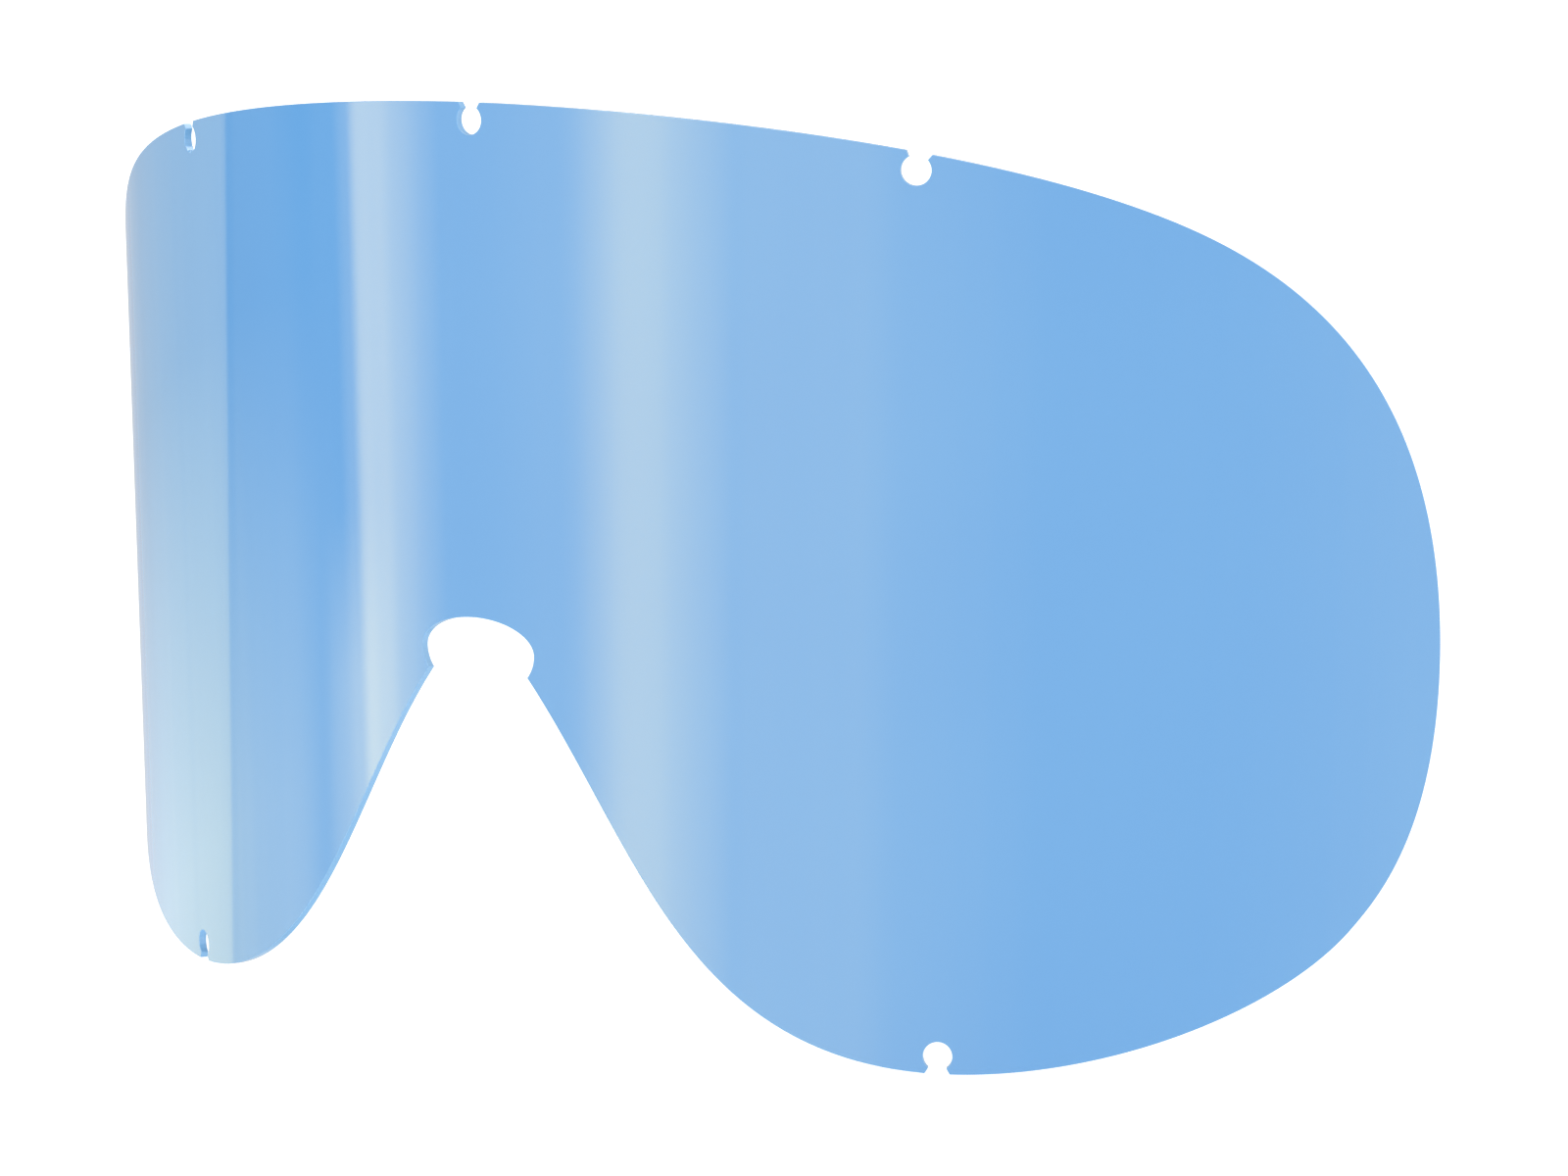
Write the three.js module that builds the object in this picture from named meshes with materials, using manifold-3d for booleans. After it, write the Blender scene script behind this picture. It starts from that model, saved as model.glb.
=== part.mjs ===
// A double lens for ski goggles: a thin mirrored outer pane, bent round the face, and a smaller clear inner
// pane that a foam ring holds a few millimetres behind it, so that a layer of still air keeps the lens from
// fogging. Every piece is die-cut from flat sheet and then bent, so each is drawn here as a flat blank, in s
// (millimetres round the front at the origin's height) and z (height), and bent. The origin is the boxing
// centre: the middle of the outer pane's width and height, on its front face. +Z is up, -Y is forward, away
// from the wearer's face.
import * as THREE from "three";
import { mergeVertices } from "three/addons/utils/BufferGeometryUtils.js";
import Module from "manifold-3d";

const wasm = await Module();
wasm.setup();

// The bend: the front face is part of a slender cone, a little wider at the brow than at the cheeks.
const FRONT_RADIUS = 109.8;
const FLARE = 0.0324; // millimetres of radius for each millimetre of height

// The outer pane's blank.
const HALF_WIDTH = 111.5; // round the bend, from the middle to the temple
const HALF_HEIGHT = 52.25;
const TEMPLE_Z = -8.8; // where the blank is widest
const PANE = 0.9;

// The keyhole notches that take the goggle frame's pegs: a round hole that opens to the edge through a narrow
// neck and a flared mouth. V is measured in from the edge.
const NOTCH = { radius: 1.65, centreV: 1.95, neck: 2.1, mouth: 2.9, topS: 52, bottomS: 55.3 };

// The flattened round hole at the top of the nose gap, and the half width of the neck below it.
const NOSE = { halfWidth: 7.8, rise: 3.75, drop: 5.2, centreZ: -8.65, neck: 6.3, neckZ: -10.4 };

// The stack behind the outer pane. The gaps stand for the surfaces that touch.
const INSET = 7; // from the outer pane's edge to the ring and the inner pane
const RING_WIDTH = 5;
const FILM = 0.15;
const FOAM = 2.4;
const INNER_PANE = 0.7;
const TOUCH = 0.1;
const ARCH_ROOM = 0.5; // the ring's arch stands this much further off the nose hole than the inset
const ARCH_FOOT = 1.5; // the arch leaves the flank this many insets out from the neck
const ARCH_PULL = 0.55; // how far its ends run straight, as a share of its half width

// The breather: a hole near the inner pane's top, under a disc of porous membrane that lets the sealed air
// out as the wearer climbs.
const BREATHER = { hole: 2.5, disc: 4.5, thickness: 0.2, z: 33.5 };

// Straight steps along each curve of an edge: the outer pane's is what shows, the stack's is hidden.
const PANE_STEPS = 16;
const STACK_STEPS = 8;
const DISC_STEPS = 12; // in a quarter turn
const PUNCH_STEPS = 24; // round a punched hole

const PUNCH_LENGTH = 8; // of the bars that cut the notches and the nose hole
const OVERCUT = 1; // how far a cutter passes the face that it cuts
const SLOPE_RUN = 1; // over which an edge's slope is taken
const MERGE = 1e-4; // corners this close are one

const point = (s, z) => new THREE.Vector2(s, z);

// The blank's edges on the right half, each from the middle of the blank out to the temple.
const TOP_EDGE = [
  [point(0, HALF_HEIGHT), point(14, HALF_HEIGHT), point(58.7, 51), point(83.2, 39.3)],
  [point(83.2, 39.3), point(106.4, 28.2), point(HALF_WIDTH, 7.3), point(HALF_WIDTH, TEMPLE_Z)],
];
const BOTTOM_EDGE = [
  [point(NOSE.neck, NOSE.neckZ), point(20.7, -27.6), point(25.8, -HALF_HEIGHT), point(56.8, -HALF_HEIGHT)],
  [point(56.8, -HALF_HEIGHT), point(73.8, -HALF_HEIGHT), point(93.6, -45.1), point(101.6, -36.8)],
  [point(101.6, -36.8), point(104.8, -33.4), point(HALF_WIDTH, -26.5), point(HALF_WIDTH, TEMPLE_Z)],
];

// Where a spot of a blank lies once it is bent; depth goes in from the outer pane's front face.
function bent(s, z, depth) {
  const angle = s / FRONT_RADIUS;
  const radius = FRONT_RADIUS + FLARE * z - depth;
  return new THREE.Vector3(radius * Math.sin(angle), FRONT_RADIUS - radius * Math.cos(angle), z);
}

// The points of joined Bézier curves, each moved sideways by the inset: side is +1 to move left, -1 right.
function edgePoints(curves, inset, side) {
  const points = [];
  const steps = inset > 0 ? STACK_STEPS : PANE_STEPS;
  for (const corners of curves) {
    const curve = new THREE.CubicBezierCurve(...corners);
    for (let step = points.length ? 1 : 0; step <= steps; step++) {
      const along = curve.getTangent(step / steps);
      const across = point(-along.y, along.x).multiplyScalar(side * inset);
      points.push(curve.getPoint(step / steps).add(across));
    }
  }
  return points;
}

const topEdge = (inset) => edgePoints(TOP_EDGE, inset, -1);

// The outer pane's blank has a straight edge over the neck of the nose gap, where the round hole is punched.
function outerBottomEdge() {
  const bridge = [0, 1 / 3, 2 / 3].map((share) => point(share * NOSE.neck, NOSE.neckZ));
  return [...bridge, ...edgePoints(BOTTOM_EDGE, 0, 1)];
}

// Inset edges pass over the nose hole in one arch, which springs from the nose gap's flank.
function insetBottomEdge(inset) {
  const flank = edgePoints(BOTTOM_EDGE, inset, 1).filter((p) => p.x > NOSE.neck + ARCH_FOOT * inset);
  const top = NOSE.centreZ + NOSE.rise + inset + ARCH_ROOM;
  const foot = flank[0];
  const reach = ARCH_PULL * foot.x;
  const uphill = foot.clone().sub(flank[1]).setLength(reach);
  const arch = [point(0, top), point(reach, top), foot.clone().add(uphill), foot];
  return [...edgePoints([arch], 0, 1).slice(0, -1), ...flank];
}

// An edge's height at s, on the straight line between its points.
function heightAt(edge, s) {
  const next = edge.findIndex((p) => p.x > s);
  if (next < 0) return edge.at(-1).y;
  const [a, b] = [edge[next - 1], edge[next]];
  return a.y + ((b.y - a.y) * (s - a.x)) / (b.x - a.x);
}

// A closed mesh as a solid that can be joined and cut.
function solid(geometry) {
  const bare = geometry.index ? geometry.toNonIndexed() : geometry;
  const positions = new THREE.BufferGeometry().setAttribute("position", bare.getAttribute("position"));
  const merged = mergeVertices(positions, MERGE);
  const corners = [...merged.index.array];
  const triVerts = [];
  for (let i = 0; i < corners.length; i += 3) {
    const [a, b, c] = corners.slice(i, i + 3);
    if (a !== b && b !== c && c !== a) triVerts.push(a, b, c);
  }
  const vertProperties = merged.attributes.position.array;
  const mesh = new wasm.Mesh({ numProp: 3, vertProperties, triVerts: new Uint32Array(triVerts) });
  return new wasm.Manifold(mesh);
}

// A bent sheet between two edges and two depths. It is flat between the straight lines that run up it at the
// bottom edge's points, as a sheet rolled to a cone would be between its rulings.
function bentSheet(top, bottom, front, back, centreZ = 0) {
  const half = bottom.map((p) => p.x);
  const end = half.at(-1);
  const stations = [...half.slice(1).reverse().map((s) => -s), ...half];
  const rings = stations.map((s) => {
    const low = centreZ + heightAt(bottom, Math.abs(s));
    const high = Math.abs(s) < end ? centreZ + heightAt(top, Math.abs(s)) : low; // the edges meet at the ends
    return [bent(s, low, front), bent(s, high, front), bent(s, high, back), bent(s, low, back)];
  });
  const triangles = [];
  for (let i = 1; i < rings.length; i++) {
    for (let side = 0; side < 4; side++) {
      const next = (side + 1) % 4;
      const [a, b, c, d] = [rings[i - 1][side], rings[i - 1][next], rings[i][next], rings[i][side]];
      triangles.push(a, c, b, a, d, c);
    }
  }
  return solid(new THREE.BufferGeometry().setFromPoints(triangles));
}

// A punch: a flat outline as a short bar, set square to the front face at one spot of the blank and turned
// there.
function punch(shape, s, z, turn) {
  const settings = { depth: PUNCH_LENGTH, bevelEnabled: false, curveSegments: PUNCH_STEPS };
  const bar = new THREE.ExtrudeGeometry(shape, settings);
  bar.translate(0, 0, -PUNCH_LENGTH / 2);
  bar.rotateZ(turn);
  bar.rotateX(Math.PI / 2);
  bar.rotateZ(s / FRONT_RADIUS);
  bar.translate(...bent(s, z, 0).toArray());
  return solid(bar);
}

// The keyhole's outline: its edge lies along x, and it goes in towards -y.
function keyholeShape() {
  const neckV = NOTCH.centreV - Math.sqrt(NOTCH.radius ** 2 - (NOTCH.neck / 2) ** 2);
  const flared = NOTCH.mouth / 2 + (NOTCH.mouth - NOTCH.neck) / 2; // past the edge by the mouth's own depth
  const neckAngle = Math.atan2(NOTCH.centreV - neckV, NOTCH.neck / 2);
  const shape = new THREE.Shape();
  shape.moveTo(flared, neckV);
  shape.lineTo(-flared, neckV);
  shape.lineTo(-NOTCH.neck / 2, -neckV);
  shape.absarc(0, -NOTCH.centreV, NOTCH.radius, Math.PI - neckAngle, 2 * Math.PI + neckAngle, false);
  return shape;
}

// A keyhole punch at s on an edge, square to that edge.
function keyhole(edge, s, upward) {
  const z = heightAt(edge, Math.abs(s));
  const rise = heightAt(edge, Math.abs(s) + SLOPE_RUN) - z;
  const slope = (rise / SLOPE_RUN) * Math.sign(s);
  return punch(keyholeShape(), s, z, Math.atan(slope) + (upward ? 0 : Math.PI));
}

// The nose hole's outline: two half ellipses of one width.
function noseShape() {
  const shape = new THREE.Shape();
  shape.absellipse(0, 0, NOSE.halfWidth, NOSE.rise, 0, Math.PI, false, 0);
  shape.absellipse(0, 0, NOSE.halfWidth, NOSE.drop, Math.PI, 2 * Math.PI, false, 0);
  return shape;
}

function outerPane() {
  const [top, bottom] = [topEdge(0), outerBottomEdge()];
  const notches = [
    keyhole(top, 0, true),
    keyhole(top, NOTCH.topS, true),
    keyhole(top, -NOTCH.topS, true),
    keyhole(bottom, NOTCH.bottomS, false),
    keyhole(bottom, -NOTCH.bottomS, false),
  ];
  const blank = bentSheet(top, bottom, 0, PANE).subtract(punch(noseShape(), 0, NOSE.centreZ, 0));
  return notches.reduce((pane, notch) => pane.subtract(notch), blank);
}

// A ring that follows the outer pane's edge, between two depths.
function ring(front, back) {
  const whole = bentSheet(topEdge(INSET), insetBottomEdge(INSET), front, back);
  const inner = INSET + RING_WIDTH;
  return whole.subtract(bentSheet(topEdge(inner), insetBottomEdge(inner), front - OVERCUT, back + OVERCUT));
}

// A bent round disc on the middle line.
function disc(radius, front, back, z) {
  const quarter = [...Array(DISC_STEPS + 1).keys()].map((step) => (step / DISC_STEPS) * (Math.PI / 2));
  const upper = quarter.map((angle) => point(radius * Math.sin(angle), radius * Math.cos(angle)));
  const lower = upper.map((p) => point(p.x, -p.y));
  return bentSheet(upper, lower, front, back, z);
}

function innerPane(front, back) {
  const pane = bentSheet(topEdge(INSET), insetBottomEdge(INSET), front, back);
  return pane.subtract(disc(BREATHER.hole, front - OVERCUT, back + OVERCUT, BREATHER.z));
}

function finish(color, roughness, opacity = 1) {
  const transparent = opacity < 1;
  return new THREE.MeshStandardMaterial({ color, roughness, metalness: 0, opacity, transparent });
}

// A solid as a named mesh of the lens.
function named(name, made, material) {
  const { vertProperties, triVerts } = made.getMesh();
  const geometry = new THREE.BufferGeometry();
  geometry.setAttribute("position", new THREE.BufferAttribute(vertProperties, 3));
  geometry.setIndex(new THREE.BufferAttribute(triVerts, 1));
  const flat = geometry.toNonIndexed();
  flat.computeVertexNormals();
  const mesh = new THREE.Mesh(flat, material);
  mesh.name = name;
  return mesh;
}

// The depths of the stack's faces, from the front.
const filmFront = PANE + TOUCH;
const foamFront = filmFront + FILM + TOUCH;
const rearFilmFront = foamFront + FOAM + TOUCH;
const innerFront = rearFilmFront + FILM + TOUCH;
const innerBack = innerFront + INNER_PANE;
const discFront = innerBack + TOUCH;
const discBack = discFront + BREATHER.thickness;

const mirrorBlue = finish(0x82b5e7, 0.08);
const bond = finish(0xe9e6da, 0.35, 0.6);
const foam = finish(0x1d2023, 0.9);
const clear = finish(0xdfe9ee, 0.06, 0.35);
const membrane = finish(0xf2f2ef, 0.8);

const lens = new THREE.Group();
lens.add(
  named("outer_pane", outerPane(), mirrorBlue),
  named("front_bond_film", ring(filmFront, filmFront + FILM), bond),
  named("foam_spacer", ring(foamFront, foamFront + FOAM), foam),
  named("rear_bond_film", ring(rearFilmFront, rearFilmFront + FILM), bond),
  named("inner_pane", innerPane(innerFront, innerBack), clear),
  named("breather_disc", disc(BREATHER.disc, discFront, discBack, BREATHER.z), membrane),
);

export default lens;
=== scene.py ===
"""The double lens of a pair of ski goggles: a blue mirrored outer pane, bent round the face, with keyhole
notches for the goggle frame's pegs, and behind it a foam ring that holds a smaller clear inner pane."""

import math

import bpy
import numpy as np
from mathutils import Matrix, Vector, geometry


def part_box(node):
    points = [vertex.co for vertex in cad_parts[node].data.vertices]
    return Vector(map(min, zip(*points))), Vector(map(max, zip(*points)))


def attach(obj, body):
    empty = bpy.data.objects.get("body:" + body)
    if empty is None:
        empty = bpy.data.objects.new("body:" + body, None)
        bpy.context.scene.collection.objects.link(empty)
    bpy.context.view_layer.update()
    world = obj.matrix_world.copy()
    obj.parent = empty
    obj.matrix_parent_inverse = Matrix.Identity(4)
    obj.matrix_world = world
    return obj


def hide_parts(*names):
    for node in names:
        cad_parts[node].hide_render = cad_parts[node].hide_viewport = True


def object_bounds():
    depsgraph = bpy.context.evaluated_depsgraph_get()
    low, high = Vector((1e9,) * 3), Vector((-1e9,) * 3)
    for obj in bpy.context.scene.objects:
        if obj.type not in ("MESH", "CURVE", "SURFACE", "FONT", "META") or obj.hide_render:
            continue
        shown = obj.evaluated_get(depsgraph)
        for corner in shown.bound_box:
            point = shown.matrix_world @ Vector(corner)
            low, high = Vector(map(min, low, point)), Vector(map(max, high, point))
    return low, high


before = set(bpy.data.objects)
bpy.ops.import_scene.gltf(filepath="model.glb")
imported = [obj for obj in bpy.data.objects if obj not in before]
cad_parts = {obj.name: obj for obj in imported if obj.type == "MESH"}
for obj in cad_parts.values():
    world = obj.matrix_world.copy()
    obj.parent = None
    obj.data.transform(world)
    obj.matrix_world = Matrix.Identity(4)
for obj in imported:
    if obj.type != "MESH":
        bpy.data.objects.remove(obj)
cad_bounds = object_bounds()
MM = 0.001


# ---- Camera -------------------------------------------------------------------------------------------
# A long lens a little above the goggle lens and round towards the wearer's left, so that the far wing is
# seen almost edge on. The camera is rolled by under a degree.
CAMERA_AIM = Vector((-22.52, 94.51, -12.55)) * MM
CAMERA_DISTANCE = 673.46 * MM
CAMERA_FOCAL = 120.3
CAMERA_AZIMUTH = math.radians(34.08)
CAMERA_ELEVATION = math.radians(7.18)
CAMERA_ROLL = math.radians(0.753)

back_way = Vector((
    math.sin(CAMERA_AZIMUTH) * math.cos(CAMERA_ELEVATION),
    -math.cos(CAMERA_AZIMUTH) * math.cos(CAMERA_ELEVATION),
    math.sin(CAMERA_ELEVATION),
))
level_right = Vector((math.cos(CAMERA_AZIMUTH), math.sin(CAMERA_AZIMUTH), 0))
turn = Matrix((level_right, back_way.cross(level_right), back_way)).transposed()
camera = bpy.data.objects.new("camera", bpy.data.cameras.new("camera"))
camera.data.lens = CAMERA_FOCAL
camera.data.sensor_width = 36
camera.data.clip_start = 0.02
camera.matrix_world = (
    Matrix.Translation(CAMERA_AIM + back_way * CAMERA_DISTANCE)
    @ (turn @ Matrix.Rotation(CAMERA_ROLL, 3, "Z")).to_4x4()
)
bpy.context.collection.objects.link(camera)
bpy.context.scene.camera = camera
bpy.context.scene.view_settings.view_transform = "Standard"


# ---- Studio -------------------------------------------------------------------------------------------
# A lit-through white floor under an even white light, which is what matt and clear surfaces get. What a
# gloss mirrors is a room of its own: strip lights, a dark flag, panels and cards, warmer on the wearer's
# right, with a bright ceiling and a dark underside.
FLOOR_HALF = 12
FLOOR_GAP = 0.05 * MM
FLOOR_GREY = 0.28    # what the floor throws back of the light on it
FLOOR_ROUGH = 0.9
FLOOR_GLOW = 0.97    # lights the floor through, so that shadows on it stay faint
FILL = 1.02          # the even light on everything
ROOM = 1.0           # what the gloss sees between the lamps



class Tree:
    """Nodes of one tree, added and wired in one call each."""

    def __init__(self, tree):
        self.tree = tree

    def add(self, kind, settings=None, **inputs):
        node = self.tree.nodes.new(kind)
        for name, value in (settings or {}).items():
            setattr(node, name, value)
        for name, value in inputs.items():
            self.feed(node, name, value)
        return node

    def feed(self, node, name, value):
        key = int(name[1:]) if name[0] == "i" and name[1:].isdigit() else name.replace("_", " ")
        socket = node.inputs[key]
        if isinstance(value, bpy.types.Node):
            value = value.outputs[0]
        if isinstance(value, bpy.types.NodeSocket):
            self.tree.links.new(value, socket)
        else:
            socket.default_value = value

    def math(self, operation, first, second=0.0, third=0.0):
        return self.add("ShaderNodeMath", {"operation": operation}, i0=first, i1=second, i2=third)

    def ramp(self, value, low, high, at_low=0.0, at_high=1.0, smooth=False):
        """value from low to high turned into at_low to at_high, and held beyond them."""
        kind = {"interpolation_type": "SMOOTHSTEP" if smooth else "LINEAR"}
        return self.add("ShaderNodeMapRange", kind, i0=value, i1=low, i2=high, i3=at_low, i4=at_high)

    def window(self, value, start, full, fade, end):
        """0 outside start to end, 1 from full to fade, and a ramp at each side."""
        rise = self.ramp(value, start, full, smooth=True)
        return self.math("MULTIPLY", rise, self.ramp(value, fade, end, 1.0, 0.0))


# What the gloss sees, by azimuth in degrees, 0 straight ahead of the lens and positive towards the wearer's
# left: where each lamp starts, is full, stops being full and ends, how much brighter than the room it is, and
# how far it leans, in degrees of azimuth for each degree of elevation away from LEAN_LEVEL.
LAMPS = [
    (-181.0, -180.0, -118.0, -86.0, -0.32, 0.56),  # the room's dim far side
    (-97.0, -89.0, -86.4, -85.4, 0.11, 0.56),      # pale board beside the dark flag
    (-85.4, -84.4, -72.5, -64.5, -0.76, 0.56),     # dark flag
    (-85.4, -84.4, -83.2, -82.4, -0.12, 0.56),     # its frame
    (-74.0, -65.0, -60.8, -59.0, -0.92, -0.08),    # the same flag, nearer the strip light
    (-58.6, -56.2, -52.5, -42.5, 3.5, -0.08),      # near strip light
    (-40.0, -22.0, -16.0, -8.0, 0.6, 0.0),         # spill before the strip light ahead
    (-25.0, -14.0, -11.5, -1.5, 3.8, 0.0),         # strip light ahead
    (-14.0, -2.0, 15.0, 20.0, 0.65, 0.0),          # broad panel
    (-10.0, 0.0, 20.0, 38.0, 0.5, 0.0),            # its spill
    (24.0, 42.0, 58.0, 84.0, -0.2, 0.0),           # dim part of the wall
    (60.0, 90.0, 170.0, 180.0, 0.4, 0.0),          # side wall
]
LEAN_LEVEL = -5.0
# White cards low on the wearer's right: the same four marks by azimuth and by elevation, and the power.
CARDS = [
    ((-145.0, -86.0, -76.0, -48.0), (-32.0, -20.0, -11.5, -6.0), 1.4),
    ((-66.0, -59.5, -58.0, -50.0), (-32.0, -20.0, -10.6, -8.8), 1.9),
]
LAMP_TALL = (35.0, 55.0)            # how far above and below level the lamps stay full, and where they end
CEILING = (56.0, 68.0, 5.0)         # elevation where the bright ceiling starts and is full, and its power
UNDERSIDE = (-28.0, -50.0, -0.6)    # the same for the darker room below
WARM_GREEN, WARM_BLUE = 0.92, 0.3   # what is left of green and blue where the light is warmest
WARM_FROM, WARM_MOST, WARM_END = -10.0, -88.0, -130.0   # the azimuths where the warmth starts, peaks and ends
UNEVEN, UNEVEN_FINE = 0.035, 0.45   # how uneven the walls are, and how finely by degree



def build_world():
    world = bpy.data.worlds.new("studio")
    world.use_nodes = True
    world.node_tree.nodes.clear()
    bpy.context.scene.world = world
    t = Tree(world.node_tree)
    way = t.add("ShaderNodeSeparateXYZ", i0=t.add("ShaderNodeTexCoord").outputs["Generated"])
    ahead = t.math("MULTIPLY", way.outputs["Y"], -1.0)
    azimuth = t.math("DEGREES", t.math("ARCTAN2", way.outputs["X"], ahead))
    elevation = t.math("DEGREES", t.math("ARCSINE", way.outputs["Z"]))
    off_level = t.math("SUBTRACT", elevation, LEAN_LEVEL)
    tall = t.ramp(t.math("ABSOLUTE", elevation), *LAMP_TALL, 1.0, 0.0, smooth=True)

    level = ROOM
    for *marks, power, lean in LAMPS:
        across = t.math("MULTIPLY_ADD", off_level, -lean, azimuth)
        level = t.math("MULTIPLY_ADD", t.math("MULTIPLY", t.window(across, *marks), tall), power, level)
    for around, upward, power in CARDS:
        card = t.math("MULTIPLY", t.window(azimuth, *around), t.window(elevation, *upward))
        level = t.math("MULTIPLY_ADD", card, power, level)
    walls = t.add("ShaderNodeTexNoise", {"noise_dimensions": "1D"}, W=azimuth, Scale=UNEVEN_FINE, Detail=4.0)
    level = t.math("MULTIPLY", level, t.ramp(walls, 0.3, 0.7, 1 - UNEVEN, 1 + UNEVEN))
    for start, full, power in (CEILING, UNDERSIDE):
        level = t.math("MULTIPLY_ADD", t.ramp(elevation, start, full, smooth=True), power, level)

    ray = t.add("ShaderNodeLightPath").outputs
    through = t.math("SUBTRACT", 1.0, ray["Is Transmission Ray"])
    gloss = t.math("MULTIPLY", ray["Is Glossy Ray"], through)
    warm = t.math(
        "MULTIPLY",
        t.ramp(azimuth, WARM_MOST, WARM_FROM, gloss, 0.0),
        t.ramp(azimuth, WARM_END, WARM_MOST),
    )
    green = t.ramp(warm, 0.0, 1.0, 1.0, WARM_GREEN)
    blue = t.ramp(warm, 0.0, 1.0, 1.0, WARM_BLUE)
    tint = t.add("ShaderNodeCombineColor", Red=1.0, Green=green, Blue=blue)
    seen = t.ramp(gloss, 0.0, 1.0, FILL, level)
    background = t.add("ShaderNodeBackground", Color=tint, Strength=seen)
    t.add("ShaderNodeOutputWorld", Surface=background)
    world.cycles.sampling_method = "NONE"


build_world()

floor_z = cad_bounds[0][2] - FLOOR_GAP
floor_mesh = bpy.data.meshes.new("floor")
corners = [(-1, -1), (1, -1), (1, 1), (-1, 1)]
floor_mesh.from_pydata([(x * FLOOR_HALF, y * FLOOR_HALF, floor_z) for x, y in corners], [], [(0, 1, 2, 3)])
floor = bpy.data.objects.new("floor", floor_mesh)
bpy.context.collection.objects.link(floor)
floor.visible_glossy = False
floor_paint = bpy.data.materials.new("white_floor")
floor_paint.use_nodes = True
floor_shader = floor_paint.node_tree.nodes["Principled BSDF"]
floor_shader.inputs["Base Color"].default_value = (FLOOR_GREY, FLOOR_GREY, FLOOR_GREY, 1)
floor_shader.inputs["Roughness"].default_value = FLOOR_ROUGH
floor_shader.inputs["Emission Color"].default_value = (1, 1, 1, 1)
floor_shader.inputs["Emission Strength"].default_value = FLOOR_GLOW
floor_mesh.materials.append(floor_paint)


# ---- Outer pane ---------------------------------------------------------------------------------------
# Polycarbonate sheet, mirror coated on its front face, cut to shape flat and then bent. Five keyhole notches
# take the pegs of the goggle frame's groove, and a flattened round hole ends the nose gap. The blank is drawn
# in millimetres: s round the bend at the origin's height, z up, and a depth in from the front face.
FRONT_RADIUS = 109.8
FLARE = 0.0324
HALF_WIDTH = 111.5
HALF_HEIGHT = 52.25
TEMPLE_Z = -8.8
PANE = 0.9
NOTCH_RADIUS, NOTCH_IN, NOTCH_NECK, NOTCH_MOUTH = 1.63, 1.95, 2.0, 2.8
NOTCHES = [(0, 1), (52, 1), (-52, 1), (55.3, -1), (-55.3, -1)]   # s, and 1 for top or -1 for bottom
NOSE_HALF, NOSE_RISE, NOSE_DROP, NOSE_Z = 7.8, 3.75, 5.2, -8.65
NECK = (6.3, -10.4)
TOP_EDGE = [
    [(0, HALF_HEIGHT), (14, HALF_HEIGHT), (58.7, 51), (83.2, 39.3)],
    [(83.2, 39.3), (106.4, 28.2), (HALF_WIDTH, 7.3), (HALF_WIDTH, TEMPLE_Z)],
]
BOTTOM_EDGE = [
    [NECK, (20.7, -27.6), (25.8, -HALF_HEIGHT), (56.8, -HALF_HEIGHT)],
    [(56.8, -HALF_HEIGHT), (73.8, -HALF_HEIGHT), (93.6, -45.1), (101.6, -36.8)],
    [(101.6, -36.8), (104.8, -33.4), (HALF_WIDTH, -26.5), (HALF_WIDTH, TEMPLE_Z)],
]
CURVE_STEPS = 56
NOSE_UPPER_STEPS, NOSE_LOWER_STEPS, BORE_STEPS, CORNER_POINTS = 40, 20, 48, 7
CORNER_REACH = 0.08   # how far a corner's rounding reaches along each side
EDGE_ROUND = 0.06     # the rounding of the cut edge
MESH_STEP = (1.3, 2.2)  # between mesh lines round the bend and up the pane
KEEP_OFF = 0.45         # the nearest a mesh point comes to the outline, as a share of the smaller step
SAME_SPOT = 1e-7
SHARP = math.radians(20)  # an outline that turns by more than this has a corner to soften
MOUTH_CLEAR = 0.2       # no outline point stays nearer than this to a notch's mouth
RIM_SHARE = 0.8         # the notched edges lie beyond this share of the half height


def edge_points(curves, inset=0.0, side=1):
    """Points along joined Bezier curves, moved sideways by inset: side 1 is to the left of the way along."""
    points = []
    for corners in np.array(curves, float):
        a, b, c, d = corners
        for t in np.linspace(0, 1, CURVE_STEPS + 1)[1 if points else 0:]:
            u = 1 - t
            spot = u**3 * a + 3 * u * u * t * b + 3 * u * t * t * c + t**3 * d
            along = u * u * (b - a) + 2 * u * t * (c - b) + t * t * (d - c)
            along /= np.linalg.norm(along)
            points.append(spot + side * inset * np.array([-along[1], along[0]]))
    return np.array(points)


def both_sides(right_half):
    """The whole outline from its right half, which runs from the bottom middle up to the top middle."""
    left_half = right_half[::-1] * [-1, 1]
    return np.vstack([right_half, left_half[1:-1]])


def arc(centre, radii, start, end, steps):
    angles = np.radians(np.linspace(start, end, steps + 1))
    return np.array(centre) + np.column_stack([radii[0] * np.cos(angles), radii[1] * np.sin(angles)])


def outer_half():
    """The right half: round the nose hole, down the nose gap, round the lobe and along the top."""
    flank = edge_points(BOTTOM_EDGE)
    reach = (((flank - [0, NOSE_Z]) / [NOSE_HALF, NOSE_DROP]) ** 2).sum(1)
    clear = np.flatnonzero(reach > 1)[0]
    share = (1 - reach[clear - 1]) / (reach[clear] - reach[clear - 1])
    tooth = flank[clear - 1] + share * (flank[clear] - flank[clear - 1])
    meet = math.degrees(math.atan2((tooth[1] - NOSE_Z) / NOSE_DROP, tooth[0] / NOSE_HALF))
    upper = arc((0, NOSE_Z), (NOSE_HALF, NOSE_RISE), 90, 0, NOSE_UPPER_STEPS)
    lower = arc((0, NOSE_Z), (NOSE_HALF, NOSE_DROP), 0, meet, NOSE_LOWER_STEPS)
    top = edge_points(TOP_EDGE)[::-1]
    return np.vstack([upper, lower[1:-1], [tooth], flank[clear:], top[1:]])


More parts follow.
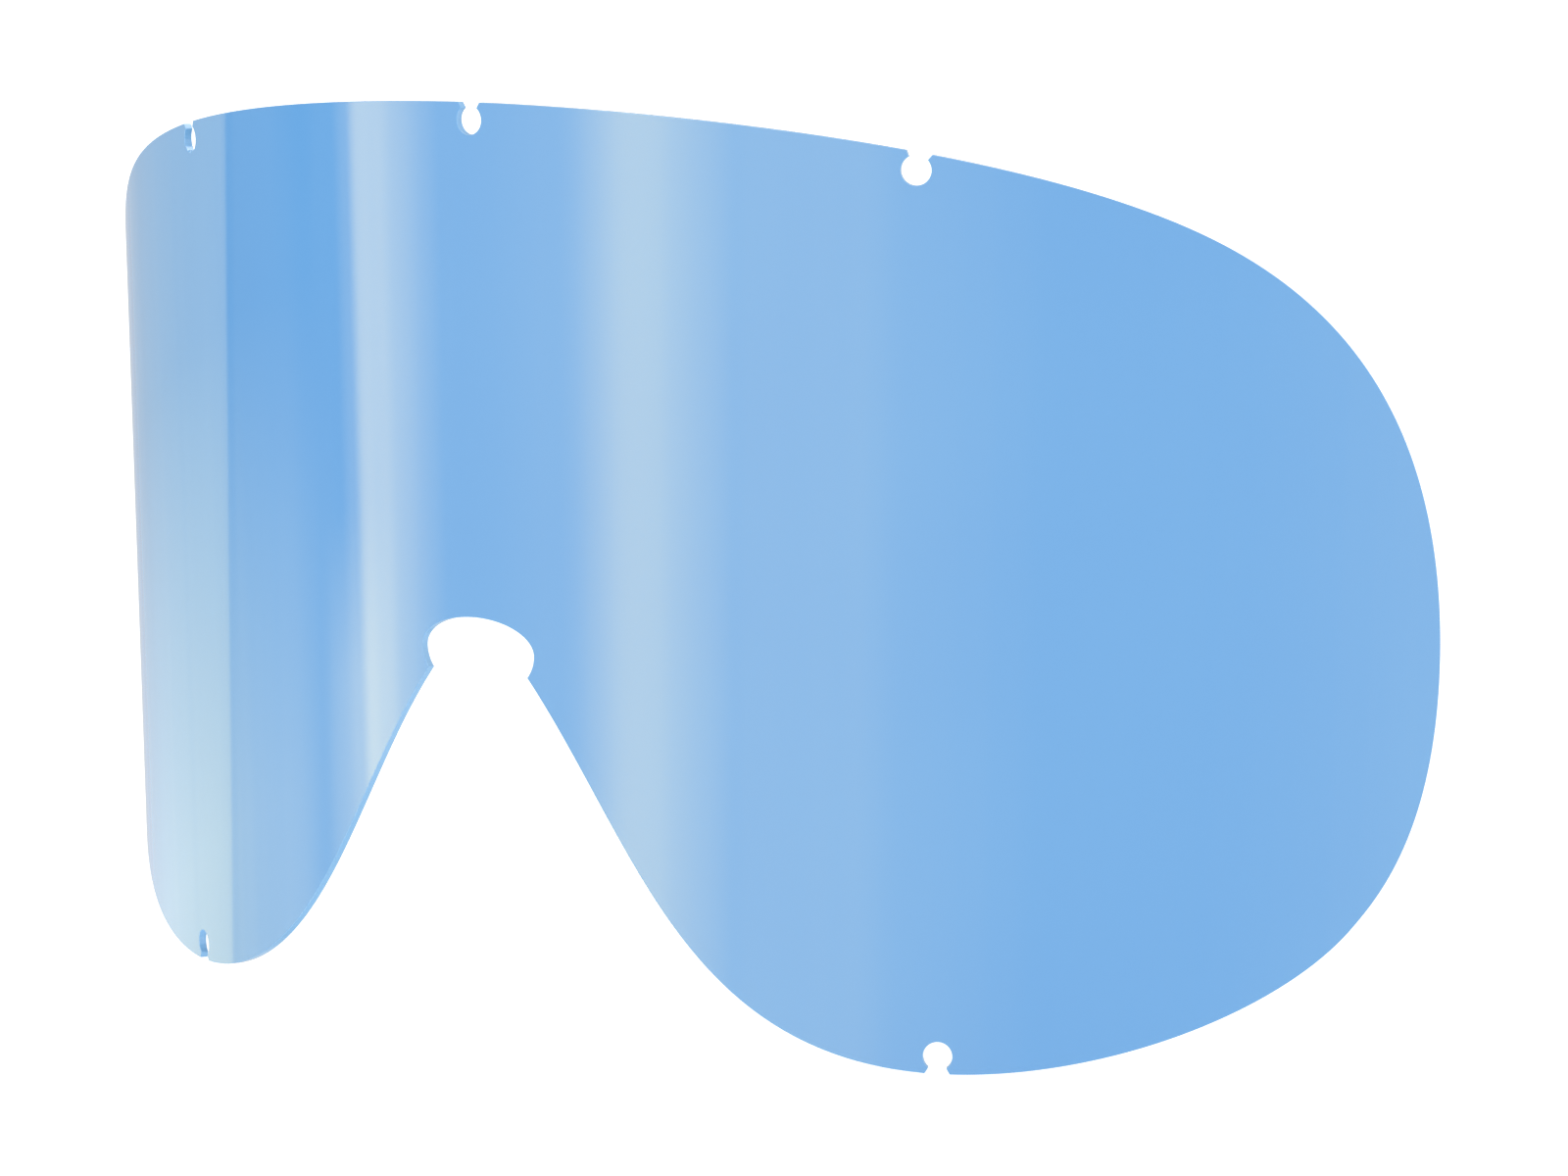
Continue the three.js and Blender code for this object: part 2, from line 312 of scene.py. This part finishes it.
def with_keyhole(loop, s, side):
    """The outline with a keyhole let into its top (side 1) or bottom (side -1) edge at s."""
    after = np.roll(loop, -1, axis=0)
    crossing = (np.minimum(loop[:, 0], after[:, 0]) <= s) & (np.maximum(loop[:, 0], after[:, 0]) > s)
    far_out = loop[:, 1] * side > RIM_SHARE * HALF_HEIGHT
    first = np.flatnonzero(crossing & far_out)[0]
    a, b = loop[first], after[first]
    spot = a + (b - a) * (s - a[0]) / (b[0] - a[0])
    along = (b - a) / np.linalg.norm(b - a)
    inward = np.array([-along[1], along[0]])
    throat = NOTCH_IN - math.sqrt(NOTCH_RADIUS**2 - (NOTCH_NECK / 2) ** 2)
    lean = math.degrees(math.atan2(NOTCH_IN - throat, NOTCH_NECK / 2))
    bore = arc((0, NOTCH_IN), (NOTCH_RADIUS, NOTCH_RADIUS), 180 + lean, -lean, BORE_STEPS)
    half = NOTCH_MOUTH / 2
    keyhole = np.vstack([[(-half, 0)], bore, [(half, 0)]])
    placed = spot + keyhole[:, :1] * along + keyhole[:, 1:] * inward
    kept = np.linalg.norm(loop - spot, axis=1) > half + MOUTH_CLEAR
    order = np.roll(np.arange(len(loop)), -(first + 1))
    return np.vstack([loop[[i for i in order if kept[i]]], placed])


def softened(loop, reach):
    """The outline with a small curve in place of each sharp corner."""
    count = len(loop)
    sides = np.roll(loop, -1, axis=0) - loop
    heading = np.arctan2(sides[:, 1], sides[:, 0])
    turning = np.abs((heading - np.roll(heading, 1) + np.pi) % (2 * np.pi) - np.pi)
    rounded = []
    dropped = set()
    curves = {}
    for i in np.flatnonzero(turning > SHARP):
        ends = []
        for way in (-1, 1):
            left, j = reach, i
            while np.linalg.norm(loop[(j + way) % count] - loop[j % count]) < left:
                left -= np.linalg.norm(loop[(j + way) % count] - loop[j % count])
                j += way
                dropped.add(j % count)
            here, there = loop[j % count], loop[(j + way) % count]
            ends.append(here + (there - here) * left / np.linalg.norm(there - here))
        t = np.linspace(0, 1, CORNER_POINTS)[:, None]
        curves[i] = (1 - t) ** 2 * ends[0] + 2 * t * (1 - t) * loop[i] + t * t * ends[1]
    for i in range(count):
        if i in curves:
            rounded.extend(curves[i])
        elif i not in dropped:
            rounded.append(loop[i])
    return np.array(rounded)


def outward_of(loop):
    """The way out of the material at each point of an outline that keeps the material on its left."""
    sides = np.roll(loop, -1, axis=0) - loop
    sides /= np.linalg.norm(sides, axis=1)[:, None]
    out = np.column_stack([sides[:, 1], -sides[:, 0]])
    both = out + np.roll(out, 1, axis=0)
    return both / np.linalg.norm(both, axis=1)[:, None]


def cut_edge(thickness, rounding, bulge=0.0):
    """The section of a cut edge: rows of how far out, how deep, and the normal's share of each."""
    rows = []
    for angle in np.radians([0, 30, 60, 90]):
        rows.append((rounding * (math.sin(angle) - 1), rounding * (1 - math.cos(angle)),
                     math.sin(angle), -math.cos(angle)))
    if bulge:
        for share in (0.2, 0.4, 0.6, 0.8):
            lean = math.cos(share * math.pi) * math.pi * bulge / thickness
            rows.append((bulge * math.sin(share * math.pi), share * thickness, 1, -lean))
    return rows + [(out, thickness - deep, n_out, -n_deep) for out, deep, n_out, n_deep in rows[3::-1]]


def within(loops, spots):
    """Which spots lie inside the outlines: those with an odd number of the outlines' sides to their right."""
    crossed = np.zeros(len(spots), int)
    for loop in loops:
        for a, b in zip(loop, np.roll(loop, -1, axis=0)):
            spans = (a[1] > spots[:, 1]) != (b[1] > spots[:, 1])
            with np.errstate(divide="ignore", invalid="ignore"):
                reach = a[0] + (spots[:, 1] - a[1]) * (b[0] - a[0]) / (b[1] - a[1])
            crossed += spans & (spots[:, 0] < reach)
    return crossed % 2 == 1


def lattice(loops, step):
    """Points inside the outlines on a regular lattice, none too near to an outline's own points."""
    low, high = loops[0].min(0), loops[0].max(0)
    wide, tall = [
        np.arange(math.floor(low[way] / step[way]), math.ceil(high[way] / step[way]) + 1) * step[way]
        for way in (0, 1)
    ]
    spots = np.array([(x, y) for x in wide for y in tall])
    near = np.full(len(spots), np.inf)
    for corner in np.vstack(loops):
        near = np.minimum(near, ((spots - corner) ** 2).sum(1))
    return spots[within(loops, spots) & (near > (KEEP_OFF * min(step)) ** 2)]


def triangles_over(loops, inner):
    """Triangles that fill the outlines, as numbers of the outlines' points and then of the inner points."""
    edges = []
    base = 0
    for loop in loops:
        edges.extend((base + i, base + (i + 1) % len(loop)) for i in range(len(loop)))
        base += len(loop)
    spots = [Vector(spot) for spot in np.vstack([*loops, inner])]
    made, _, triangles, origins, _, _ = geometry.delaunay_2d_cdt(spots, edges, [], 0, SAME_SPOT)
    middles = np.array([np.mean([made[i] for i in triangle], axis=0) for triangle in triangles])
    kept = within(loops, middles)
    return [[origins[i][0] for i in triangle] for triangle, keep in zip(triangles, kept) if keep]


def flat_piece(name, loops, depth, section, step=MESH_STEP):
    """A flat blank as an object, x along s, y the depth and z up. Its faces are marked 0 for the cut edge,
    1 for the front face and 2 for the back, and each point's normal is kept for after the bend."""
    points, normals, faces, marks, spread = [], [], [], [], []
    front_rims, back_rims = [], []
    for loop in loops:
        out = outward_of(loop)
        run = np.concatenate([[0], np.cumsum(np.linalg.norm(np.roll(loop, -1, axis=0) - loop, axis=1))])
        count = len(loop)
        start = len(points)
        for away, deep, n_out, n_deep in section:
            for spot, way in zip(loop + out * away, out):
                points.append((spot[0], depth + deep, spot[1]))
                normals.append((way[0] * n_out, n_deep, way[1] * n_out))
        for row in range(len(section) - 1):
            top, low = section[row][1], section[row + 1][1]
            for i in range(count):
                a = start + row * count + i
                b = start + row * count + (i + 1) % count
                faces.append((a, a + count, b + count, b))
                marks.append(0)
                spread.extend([(run[i], top), (run[i], low), (run[i + 1], low), (run[i + 1], top)])
        front_rims.append(range(start, start + count))
        back_rims.append(range(len(points) - count, len(points)))

    for mark, rims, deep in ((1, front_rims, section[0][1]), (2, back_rims, section[-1][1])):
        rim_loops = [np.array([points[i] for i in rim])[:, [0, 2]] for rim in rims]
        inner = lattice(rim_loops, step)
        owners = [i for rim in rims for i in rim] + list(range(len(points), len(points) + len(inner)))
        points.extend((x, depth + deep, z) for x, z in inner)
        normals.extend([(0, -1 if mark == 1 else 1, 0)] * len(inner))
        for triangle in triangles_over(rim_loops, inner):
            corners = [owners[i] for i in triangle]
            faces.append(corners if mark == 1 else corners[::-1])
            marks.append(mark)
            spread.extend((points[i][0], points[i][2]) for i in faces[-1])

    mesh = bpy.data.meshes.new(name)
    mesh.from_pydata((np.array(points) * MM).tolist(), [], faces)
    mesh.attributes.new("side", "INT", "FACE").data.foreach_set("value", marks)
    mesh.attributes.new("blank_normal", "FLOAT_VECTOR", "POINT").data.foreach_set("vector", np.ravel(normals))
    mesh.uv_layers.new(name="blank").data.foreach_set("uv", np.ravel(spread) * MM)
    piece = bpy.data.objects.new(name, mesh)
    bpy.context.collection.objects.link(piece)
    return piece


def bend_tree():
    """Bends a flat blank to the lens's slender cone and gives its front, cut edge and back their finishes."""
    tree = bpy.data.node_groups.new("Bend round the face", "GeometryNodeTree")
    add = tree.interface.new_socket
    add("Geometry", in_out="INPUT", socket_type="NodeSocketGeometry")
    add("Front radius", in_out="INPUT", socket_type="NodeSocketFloat")
    add("Flare", in_out="INPUT", socket_type="NodeSocketFloat")
    for face in ("Edge", "Front", "Back"):
        add(face + " finish", in_out="INPUT", socket_type="NodeSocketMaterial")
    add("Geometry", in_out="OUTPUT", socket_type="NodeSocketGeometry")
    t = Tree(tree)
    given = t.add("NodeGroupInput").outputs
    place = t.add("ShaderNodeSeparateXYZ", i0=t.add("GeometryNodeInputPosition"))
    angle = t.math("DIVIDE", place.outputs["X"], given["Front radius"])
    radius = t.math("MULTIPLY_ADD", place.outputs["Z"], given["Flare"], given["Front radius"])
    radius = t.math("SUBTRACT", radius, place.outputs["Y"])
    across = t.math("MULTIPLY", radius, t.math("SINE", angle))
    back = t.math("SUBTRACT", given["Front radius"], t.math("MULTIPLY", radius, t.math("COSINE", angle)))
    bent = t.add("ShaderNodeCombineXYZ", X=across, Y=back, Z=place.outputs["Z"])
    shape = t.add("GeometryNodeSetPosition", Geometry=given["Geometry"], Position=bent)
    shape = t.add("GeometryNodeRealizeInstances", Geometry=shape)
    side = t.add("GeometryNodeInputNamedAttribute", {"data_type": "INT"}, Name="side")
    for mark, face in enumerate(("Edge", "Front", "Back")):
        chosen = t.add("FunctionNodeCompare", {"data_type": "INT", "operation": "EQUAL"})
        tree.links.new(side.outputs["Attribute"], chosen.inputs[2])
        chosen.inputs[3].default_value = mark
        shape = t.add("GeometryNodeSetMaterial", Geometry=shape, Selection=chosen,
                      Material=given[face + " finish"])
    t.add("NodeGroupOutput", Geometry=shape)
    return tree


bend = bend_tree()


def bend_piece(piece, edge, front, back):
    """Bends a flat piece with the tree and keeps the result as its plain mesh."""
    modifier = piece.modifiers.new("bend", "NODES")
    modifier.node_group = bend
    sizes = {"Front radius": FRONT_RADIUS * MM, "Flare": FLARE,
             "Edge finish": edge, "Front finish": front, "Back finish": back}
    for socket in bend.interface.items_tree:
        if socket.in_out == "INPUT" and socket.name in sizes:
            modifier[socket.identifier] = sizes[socket.name]
    shown = piece.evaluated_get(bpy.context.evaluated_depsgraph_get())
    mesh = bpy.data.meshes.new_from_object(shown)
    piece.modifiers.clear()
    blank = np.empty(len(mesh.vertices) * 3)
    piece.data.vertices.foreach_get("co", blank)
    flat = np.empty(len(mesh.vertices) * 3)
    mesh.attributes["blank_normal"].data.foreach_get("vector", flat)
    flat = flat.reshape(-1, 3)
    angle = blank[::3] / (FRONT_RADIUS * MM)
    sine, cosine, none = np.sin(angle), np.cos(angle), np.zeros(len(angle))
    round_way = np.column_stack([cosine, sine, none])
    in_way = np.column_stack([-sine, cosine, none + FLARE])
    up_way = np.column_stack([FLARE * sine, -FLARE * cosine, none + 1])
    bent = flat[:, :1] * round_way + flat[:, 1:2] * in_way + flat[:, 2:] * up_way
    bent /= np.linalg.norm(bent, axis=1)[:, None]
    mesh.attributes.remove(mesh.attributes["blank_normal"])
    mesh.shade_smooth()
    mesh.normals_split_custom_set_from_vertices(bent.tolist())
    old = piece.data
    piece.data = mesh
    bpy.data.meshes.remove(old)
    mesh.name = piece.name


def new_finish(name, **plain):
    """A material with one Principled shader: its plain values are set on the shader itself."""
    material = bpy.data.materials.new(name)
    material.use_nodes = True
    t = Tree(material.node_tree)
    shader = material.node_tree.nodes["Principled BSDF"]
    for key, value in plain.items():
        shader.inputs[key.replace("_", " ")].default_value = value
    place = t.add("ShaderNodeTexCoord").outputs["Object"]
    return material, t, shader, place


def mirror_finish():
    """Blue mirror coating: bright, a little uneven in tint, with faint wipe marks in the gloss."""
    material, t, shader, place = new_finish(
        "blue_mirror", IOR=1.6, Specular_Tint=(1.0, 0.72, 0.0, 1.0))
    drift = t.add("ShaderNodeTexNoise", Vector=place, Scale=18.0, Detail=2.0)
    grain = t.add("ShaderNodeTexNoise", Vector=place, Scale=900.0, Detail=3.0)
    tint = t.add("ShaderNodeMix", {"data_type": "RGBA"}, Factor=t.ramp(drift, 0.35, 0.65))
    tint.inputs[6].default_value = (0.143, 0.377, 0.732, 1)
    tint.inputs[7].default_value = (0.152, 0.390, 0.737, 1)
    t.feed(shader, "Base_Color", tint.outputs[2])
    wipe = t.add("ShaderNodeMapping", Vector=place, Scale=(1.0, 1.0, 7.0))
    smear = t.add("ShaderNodeTexNoise", Vector=wipe, Scale=60.0, Detail=4.0)
    t.feed(shader, "Roughness", t.ramp(smear, 0.3, 0.7, 0.03, 0.045))
    bump = t.add("ShaderNodeBump", Strength=0.05, Distance=0.00002, Height=grain)
    t.feed(shader, "Normal", bump)
    return material


def tinted_finish(name, deep, pale, roughness):
    """Tinted polycarbonate: the sheet's own dark tint at its back, and at its cut edge a paler blue that is
    the tint with painted light, as if piped along the sheet.
    """
    material, t, shader, place = new_finish(name, IOR=1.58)
    cloud = t.add("ShaderNodeTexNoise", Vector=place, Scale=35.0, Detail=3.0)
    tint = t.add("ShaderNodeMix", {"data_type": "RGBA"}, Factor=t.ramp(cloud, 0.3, 0.7))
    tint.inputs[6].default_value = (*deep, 1)
    tint.inputs[7].default_value = (*pale, 1)
    t.feed(shader, "Base_Color", tint.outputs[2])
    strokes = t.add("ShaderNodeTexNoise", Vector=place, Scale=1500.0, Detail=2.0)
    t.feed(shader, "Roughness", t.ramp(strokes, 0.3, 0.7, roughness * 0.8, roughness * 1.3))
    t.feed(shader, "Normal", t.add("ShaderNodeBump", Strength=0.1, Distance=0.00002, Height=strokes))
    return material


def finished(piece, node):
    """Puts a finished piece in place of its CAD node."""
    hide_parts(node)
    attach(piece, "root")


outer_outline = both_sides(outer_half())
for spot, edge_side in NOTCHES:
    outer_outline = with_keyhole(outer_outline, spot, edge_side)
outer_outline = softened(outer_outline, CORNER_REACH)

blue_mirror = mirror_finish()
# The cut edge's pale blue is painted light piped along the sheet over its blue tint; the back keeps the
# sheet's own dark tint.
edge_tint_and_painted_light = tinted_finish("cut_edge_tint_and_painted_light", (0.19, 0.45, 0.76), (0.26, 0.51, 0.80), 0.10)
sheet_back = tinted_finish("tinted_sheet_back", (0.045, 0.052, 0.062), (0.055, 0.064, 0.078), 0.08)

outer_pane = flat_piece("mirrored_outer_pane", [outer_outline], 0, cut_edge(PANE, EDGE_ROUND))
bend_piece(outer_pane, edge_tint_and_painted_light, blue_mirror, sheet_back)
finished(outer_pane, "outer_pane")


# ---- Foam spacer --------------------------------------------------------------------------------------
# A ring of black closed-cell foam, die-cut to follow the outer pane's edge well inside it. It keeps the panes
# apart and seals the air between them. Bonded under light pressure, its cut sides stand out a little.
STACK_INSET = 7.0
RING_WIDTH = 5.0
FOAM = 2.4
FOAM_ROUND = 0.12
FOAM_BULGE = 0.16
ARCH_ROOM = 0.5
ARCH_FOOT = 1.5      # the arch over the nose leaves the flank this many insets out from the neck
ARCH_PULL = 0.55     # how far its ends run straight, as a share of its half width


def stack_outline(inset):
    """An outline inside the outer pane's, which passes over the nose hole in one arch."""
    flank = edge_points(BOTTOM_EDGE, inset)
    flank = flank[flank[:, 0] > NECK[0] + ARCH_FOOT * inset]
    top = NOSE_Z + NOSE_RISE + inset + ARCH_ROOM
    foot = flank[0]
    reach = ARCH_PULL * foot[0]
    uphill = (foot - flank[1]) / np.linalg.norm(foot - flank[1])
    arch = edge_points([[(0, top), (reach, top), foot + uphill * reach, foot]])
    upper = edge_points(TOP_EDGE, inset, -1)[::-1]
    return both_sides(np.vstack([arch[:-1], flank, upper[1:]]))


def front_depth(node):
    """How deep a node's front face lies behind the outer pane's, in millimetres, from its box."""
    low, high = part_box(node)
    return (low[1] + FLARE * high[2]) / MM


def foam_finish():
    """Black closed-cell foam: fine bubbles, a little dust in them, and a dry soft sheen."""
    material, t, shader, place = new_finish(
        "black_cell_foam", Sheen_Weight=0.12, Sheen_Roughness=0.6, Specular_IOR_Level=0.3)
    cells = t.add("ShaderNodeTexVoronoi", Vector=place, Scale=3200.0)
    clumps = t.add("ShaderNodeTexNoise", Vector=place, Scale=260.0, Detail=3.0)
    tint = t.add("ShaderNodeMix", {"data_type": "RGBA"}, Factor=t.ramp(clumps, 0.3, 0.7))
    tint.inputs[6].default_value = (0.011, 0.012, 0.013, 1)
    tint.inputs[7].default_value = (0.028, 0.029, 0.031, 1)
    t.feed(shader, "Base_Color", tint.outputs[2])
    t.feed(shader, "Roughness", t.ramp(cells, 0.0, 0.6, 0.92, 0.68))
    t.feed(shader, "Normal", t.add("ShaderNodeBump", Strength=0.7, Distance=0.0001, Height=cells))
    return material


ring_outlines = [stack_outline(STACK_INSET), stack_outline(STACK_INSET + RING_WIDTH)[::-1]]
cell_foam = foam_finish()
foam = flat_piece("foam_spacer_ring", ring_outlines, front_depth("foam_spacer"),
                  cut_edge(FOAM, FOAM_ROUND, FOAM_BULGE))
bend_piece(foam, cell_foam, cell_foam, cell_foam)
finished(foam, "foam_spacer")


# ---- Bond films ---------------------------------------------------------------------------------------
# Double-sided adhesive film, die-cut to the foam's outline, one on each face of it. The acrylic adhesive is
# clear with a warm cast.
FILM = 0.15
FILM_ROUND = 0.03


def film_finish():
    """Clear acrylic adhesive: almost all see-through, a little uneven, with a wet gloss."""
    material, t, shader, place = new_finish("acrylic_adhesive", IOR=1.47, Alpha=0.07)
    flow = t.add("ShaderNodeTexNoise", Vector=place, Scale=220.0, Detail=3.0)
    tint = t.add("ShaderNodeMix", {"data_type": "RGBA"}, Factor=t.ramp(flow, 0.3, 0.7))
    tint.inputs[6].default_value = (0.72, 0.70, 0.62, 1)
    tint.inputs[7].default_value = (0.84, 0.83, 0.76, 1)
    t.feed(shader, "Base_Color", tint.outputs[2])
    t.feed(shader, "Roughness", t.ramp(flow, 0.3, 0.7, 0.22, 0.42))
    t.feed(shader, "Normal", t.add("ShaderNodeBump", Strength=0.3, Distance=0.00005, Height=flow))
    return material


adhesive = film_finish()
for film_node in ("front_bond_film", "rear_bond_film"):
    film_name = film_node.replace("bond", "adhesive")
    film = flat_piece(film_name, ring_outlines, front_depth(film_node), cut_edge(FILM, FILM_ROUND))
    bend_piece(film, adhesive, adhesive, adhesive)
    finished(film, film_node)


# ---- Inner pane ---------------------------------------------------------------------------------------
# Clear cellulose propionate sheet with an anti-fog coating, die-cut to the foam's outer outline and bent to a
# slightly tighter curve than the outer pane. A small round hole near the top lets the sealed air out.
INNER_PANE = 0.7
INNER_ROUND = 0.1
HOLE_RADIUS = 2.5
HOLE_STEPS = 60
BREATHER_Z = 33.5


def clear_finish():
    """Clear sheet: a clean window with its own gloss, and a breath of haze in patches."""
    material, t, shader, place = new_finish("clear_antifog_sheet", IOR=1.48, Transmission_Weight=1.0)
    haze = t.add("ShaderNodeTexNoise", Vector=place, Scale=28.0, Detail=4.0)
    tint = t.add("ShaderNodeMix", {"data_type": "RGBA"}, Factor=t.ramp(haze, 0.3, 0.7))
    tint.inputs[6].default_value = (0.93, 0.97, 0.98, 1)
    tint.inputs[7].default_value = (0.97, 0.99, 0.99, 1)
    t.feed(shader, "Base_Color", tint.outputs[2])
    t.feed(shader, "Roughness", t.ramp(haze, 0.3, 0.7, 0.01, 0.03))
    return material


def clear_edge_finish():
    """The clear sheet's cut edge, where light piped along the sheet comes out, over fine cutter marks."""
    material, t, shader, place = new_finish("clear_cut_edge", IOR=1.48)
    marks = t.add("ShaderNodeTexNoise", Vector=place, Scale=1400.0, Detail=2.0)
    tint = t.add("ShaderNodeMix", {"data_type": "RGBA"}, Factor=t.ramp(marks, 0.35, 0.65))
    tint.inputs[6].default_value = (0.50, 0.60, 0.64, 1)
    tint.inputs[7].default_value = (0.72, 0.80, 0.83, 1)
    t.feed(shader, "Base_Color", tint.outputs[2])
    t.feed(shader, "Roughness", t.ramp(marks, 0.3, 0.7, 0.25, 0.45))
    t.feed(shader, "Normal", t.add("ShaderNodeBump", Strength=0.2, Distance=0.00004, Height=marks))
    return material


clear_sheet = clear_finish()
breather = arc((0, BREATHER_Z), (HOLE_RADIUS, HOLE_RADIUS), 360, 0, HOLE_STEPS)[:-1]
inner_outlines = [stack_outline(STACK_INSET), breather]
inner_pane = flat_piece("clear_inner_pane", inner_outlines, front_depth("inner_pane"),
                        cut_edge(INNER_PANE, INNER_ROUND))
bend_piece(inner_pane, clear_edge_finish(), clear_sheet, clear_sheet)
finished(inner_pane, "inner_pane")


# ---- Breather disc ------------------------------------------------------------------------------------
# A disc of white porous membrane over the breather hole, held by a pressed ring of adhesive round its rim.
# The free middle stands up very slightly.
DISC_RADIUS = 4.5
DISC = 0.2
DISC_ROUND = 0.05
DISC_STEP = (0.35, 0.35)
DISC_RIM_STEPS = 96
DISC_CROWN = 0.14
PRESSED_IN = 0.06
PRESSED_WIDTH = 0.35


def membrane_finish():
    """White porous membrane: a felted web of fine fibres, matt."""
    material, t, shader, place = new_finish("porous_membrane", Sheen_Weight=0.2, Specular_IOR_Level=0.2)
    web = t.add("ShaderNodeTexNoise", Vector=place, Scale=2600.0, Detail=5.0, Roughness=0.7)
    tint = t.add("ShaderNodeMix", {"data_type": "RGBA"}, Factor=t.ramp(web, 0.35, 0.65))
    tint.inputs[6].default_value = (0.66, 0.66, 0.64, 1)
    tint.inputs[7].default_value = (0.86, 0.86, 0.85, 1)
    t.feed(shader, "Base_Color", tint.outputs[2])
    t.feed(shader, "Roughness", t.ramp(web, 0.3, 0.7, 0.75, 0.95))
    t.feed(shader, "Normal", t.add("ShaderNodeBump", Strength=0.5, Distance=0.00006, Height=web))
    return material


disc_outline = arc((0, BREATHER_Z), (DISC_RADIUS, DISC_RADIUS), 0, 360, DISC_RIM_STEPS)[:-1]
disc_depth = front_depth("breather_disc")
disc = flat_piece("breather_membrane", [disc_outline], disc_depth, cut_edge(DISC, DISC_ROUND), DISC_STEP)
pressed_ring = (DISC_RADIUS + HOLE_RADIUS) / 2
for vertex in disc.data.vertices:
    away = math.hypot(vertex.co.x / MM, vertex.co.z / MM - BREATHER_Z)
    crown = DISC_CROWN * max(0.0, 1 - (away / HOLE_RADIUS) ** 2)
    pressed = PRESSED_IN * math.exp(-(((away - pressed_ring) / PRESSED_WIDTH) ** 2))
    if away < DISC_RADIUS - DISC_ROUND * 2 and vertex.co.y / MM > disc_depth + DISC / 2:
        vertex.co.y += (crown - pressed) * MM
membrane = membrane_finish()
bend_piece(disc, membrane, membrane, membrane)
finished(disc, "breather_disc")
